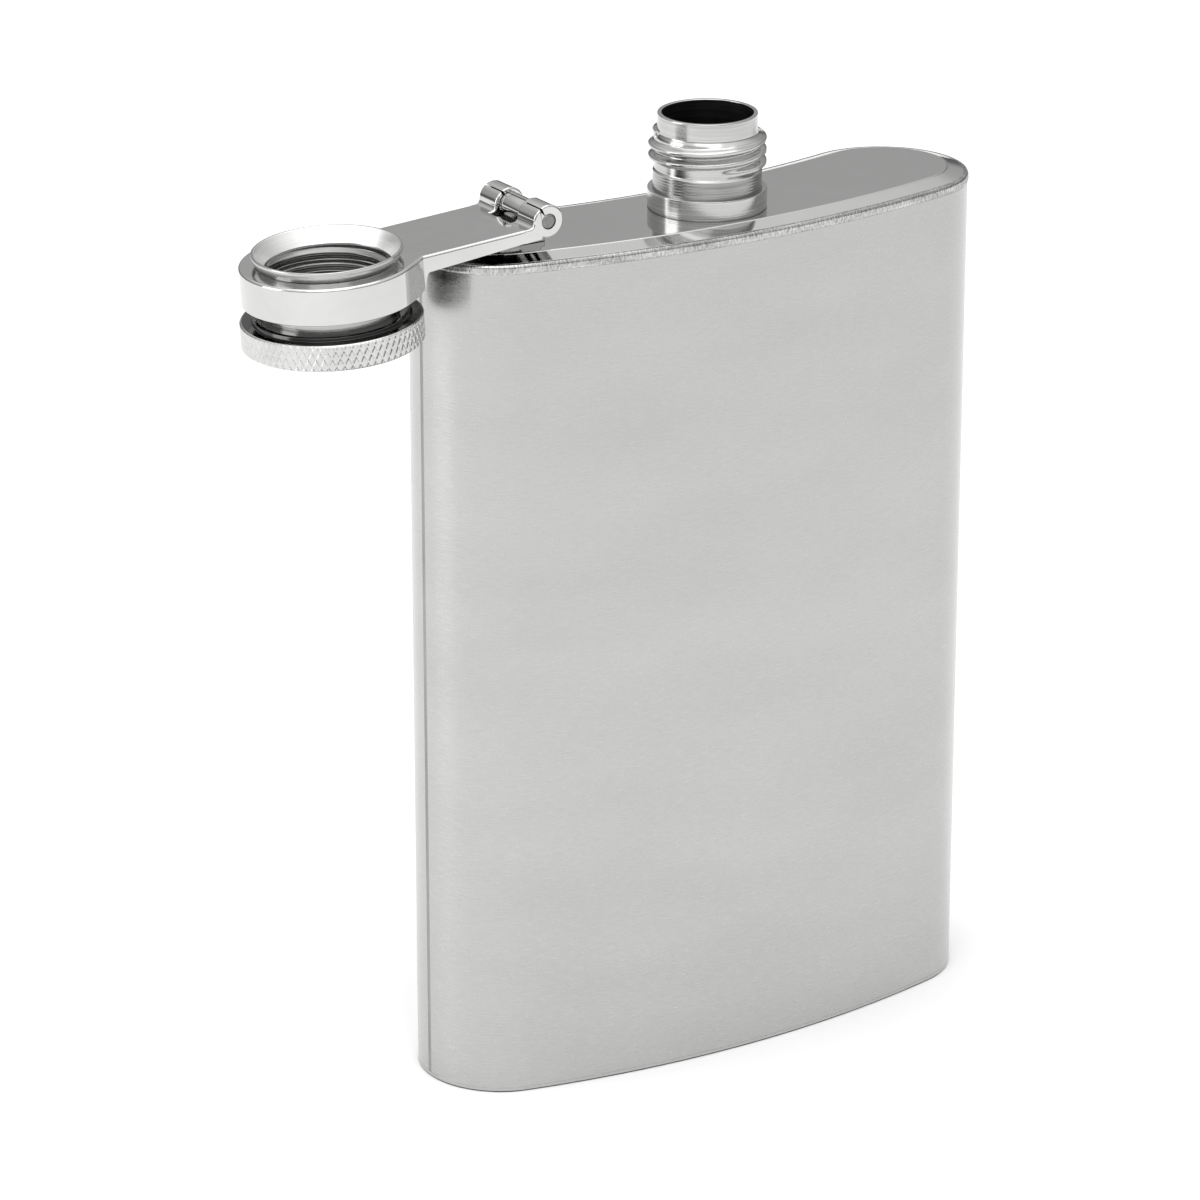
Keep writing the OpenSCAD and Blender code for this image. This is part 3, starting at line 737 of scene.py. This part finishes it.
def build_arm():
    """The arm: the sheet, two knuckles curled from it, and a stub that ties each flange to its knuckle."""
    step = ARM_TOP - SHEET
    fillet = 0.7
    centre = (math.sqrt((KNUCKLE_R + fillet) ** 2 - (ARM_TOP + fillet) ** 2), ARM_TOP + fillet)
    meet = math.degrees(math.atan2(centre[1], centre[0]))
    # The strap's root sits 0.01 mm inside the sheet's faces, so that no two faces share a plane
    strap = np.vstack([arc(centre, fillet, 180 + meet, 270, 6),
                       [(WINDOW_X + 0.2, ARM_TOP - 0.01), (WINDOW_X + 0.2, step + 0.01)]])
    under = -math.degrees(math.asin(-(step + 0.01) / KNUCKLE_R))
    knuckle = curled(KNUCKLE_R, 60, (meet + 1, strap), under)
    stub = [(KNUCKLE_R / 2, ARM_TOP - 0.9), (WINDOW_X + 0.3, ARM_TOP - 0.9),
            (WINDOW_X + 0.3, ARM_TOP - 1.93), (KNUCKLE_R / 2, ARM_TOP - 1.84)]
    parts = [arm_sheet()]
    for side in (-1, 1):
        parts.append(prism(knuckle, side * WINDOW_HALF, side * ARM_HALF, 2.0, 0.3))
        parts.append(prism(stub, side * (ARM_HALF - SHEET + 0.02), side * (ARM_HALF - 0.02)))
    piece("arm_piece", united("arm_piece", parts, ARM_PLACE), "arm", ["cap_arm"],
          POLISHED)


def build_bracket():
    """The fixed knuckle: a narrow strip curled round the pin on a web, with its foot and stop ledge."""
    radius, half = 1.85, 2.75
    low, foot = -4.4, 0.8            # underside of the foot below the hinge axis, and its thickness
    web = 1.5                        # half the web's thickness
    ledge = -5.2                     # far side of the stop's ledge, away from the neck
    down = -math.degrees(math.acos(web / radius))
    # (x, z) from the hinge axis, with x towards the neck
    base = [(web, low + 1.4), (web + 0.2, low + foot), (web + 0.8, low + foot), (web + 0.8, low),
            (ledge, low), (ledge, low + 2.48), (ledge + 1.2, low + 2.6), (ledge + 1.2, low + foot),
            (-web - 0.2, low + foot), (-web, low + 1.4)]
    strip = curled(radius, 105, (down, np.array(base)), -180 - down)
    made = prism(strip, -half, half, 1.5, 0.12)
    bracket = piece("bracket_piece", united("bracket_piece", [made], Matrix.Translation(HINGE)), "flask",
                    ["hinge_bracket"], POLISHED)
    # Below 1.4 mm under the hinge axis, the foot and stop take the near-black painted shade
    refinish(bracket, [NEAR_BLACK_SHADE], lambda at: at.z < -1.4, Matrix.Translation(HINGE))


def build_pin():
    """Wire pin: a bright shank with sheared, slightly domed ends."""
    end = [(0, PIN_HALF, 0), (PIN_R - 0.3, PIN_HALF - 0.02, 0.1), (PIN_R, PIN_HALF - 0.22, 0.08)]
    section = eased(end + [(r, -z, ease) for r, z, ease in end[::-1]], 4)
    lie = Matrix.Translation(HINGE) @ Matrix.Rotation(HALF_PI, 4, "X")
    pin = piece("pin_piece", turned("pin_piece", section, lie, 64), "flask", ["hinge_pin"],
                POLISHED)
    refinish(pin, [SHEARED], lambda at: abs(at.z) > PIN_HALF - 0.3, lie)


# ---- floor, light and camera ----

def build_floor():
    """A sheet of matt white paper, four metres each way."""
    size = 4.0
    steps = np.linspace(-size, size, 9) / MM
    x, y = np.meshgrid(steps, steps, indexing="ij")
    floor = in_scene("floor", skin("floor", np.stack([x, y, 0 * x], -1), steps, steps, loop=False))
    # Matt paper: white, without gloss, with fibres 0.8 mm apart that only just vary its white
    paper = bpy.data.materials.new("matt_studio_paper")
    tree = blank(paper)
    place = add(tree, "TexCoord").outputs["Object"]
    fibre = add(tree, "TexNoise", {"Vector": place, "Scale": 1 / (0.8 * MM), "Detail": 3.0})
    colour = add(tree, "Mix", {"Factor": fibre.outputs[0], "A": tint("#F9F9F9"), "B": tint("#FCFCFC")},
                 data_type="RGBA")
    shader = add(tree, "BsdfPrincipled", {"Base Color": colour.outputs["Result"], "Roughness": 0.9,
                                          "Specular IOR Level": 0.1})
    add(tree, "OutputMaterial", {"Surface": shader.outputs[0]})
    floor.data.materials.append(paper)


def build_light():
    """The studio round the object: a pale room and three soft boxes."""
    world = bpy.data.worlds.new("studio")
    bpy.context.scene.world = world
    tree = blank(world)
    place = add(tree, "TexCoord")
    up = add(tree, "SeparateXYZ", {"Vector": place.outputs["Generated"]})
    ramp = add(tree, "ValToRGB", {"Fac": up.outputs["Z"]})
    # Radiance by the sine of the height above the horizon: dim walls, a bright ceiling
    stops = [(0.0, 0.11), (0.10, 0.17), (0.22, 0.47), (0.42, 0.55), (0.62, 0.90), (1.0, 1.05)]
    while len(ramp.color_ramp.elements) < len(stops):
        ramp.color_ramp.elements.new(1)
    for element, (at, level) in zip(ramp.color_ramp.elements, stops):
        element.position = at
        element.color = (level, level, level, 1)
    # The room's lamps stand on the front left, so that side is brighter
    side = add(tree, "VectorMath", {0: place.outputs["Generated"], 1: (-0.54, -0.84, 0)},
               operation="DOT_PRODUCT")
    gain = add(tree, "MapRange", {"Value": side.outputs["Value"], "From Min": -0.5, "From Max": 0.9,
                                  "To Min": 0.95, "To Max": 1.5})
    sky = add(tree, "Background", {"Color": ramp.outputs[0], "Strength": gain.outputs[0]})
    add(tree, "OutputWorld", {"Surface": sky.outputs[0]})

    # Soft boxes: place, point faced, width, height in metres, radiance
    for name, at, aim, width, height, glow in (
            ("overhead_box", (0.0, 0.0, 1.6), (0, 0, 0), 1.5, 1.5, 0.95),
            ("front_box", (-0.75, -1.15, 1.35), (0, 0, 0.06), 1.7, 0.9, 1.1),
            ("left_box", (-1.45, 0.42, 0.45), (0, 0, 0.06), 0.75, 0.9, 2.9)):
        lamp = bpy.data.lights.new(name, "AREA")
        lamp.shape = "RECTANGLE"
        lamp.size = width
        lamp.size_y = height
        lamp.energy = glow * math.pi * width * height
        holder = in_scene(name, lamp)
        holder.location = at
        holder.rotation_euler = (Vector(at) - Vector(aim)).to_track_quat("Z", "Y").to_euler()


def build_camera():
    """A long lens from the front left, a little above the flask."""
    azimuth, elevation = math.radians(-32.44), math.radians(20.63)
    aim, distance = Vector((-1.3, 27.2, 59.1)) * MM, 0.8306
    back = Vector((math.sin(azimuth) * math.cos(elevation), -math.cos(azimuth) * math.cos(elevation),
                   math.sin(elevation)))
    right = Vector((0, 0, 1)).cross(back).normalized()
    above = back.cross(right)
    eye = bpy.data.cameras.new("eye")
    eye.sensor_width = 36
    eye.lens = 163.6
    eye.clip_start = 0.01
    eye.clip_end = 50
    holder = in_scene("eye", eye)
    holder.matrix_world = (Matrix.Translation(aim + back * distance) @
                           Matrix((right, above, back)).transposed().to_4x4())
    bpy.context.scene.camera = holder
    bpy.context.scene.view_settings.view_transform = "Standard"


build_walls()
build_top_bead()
build_bottom()
build_top_plate()
build_neck()
build_cap()
build_arm()
build_bracket()
build_pin()
build_floor()
build_light()
build_camera()
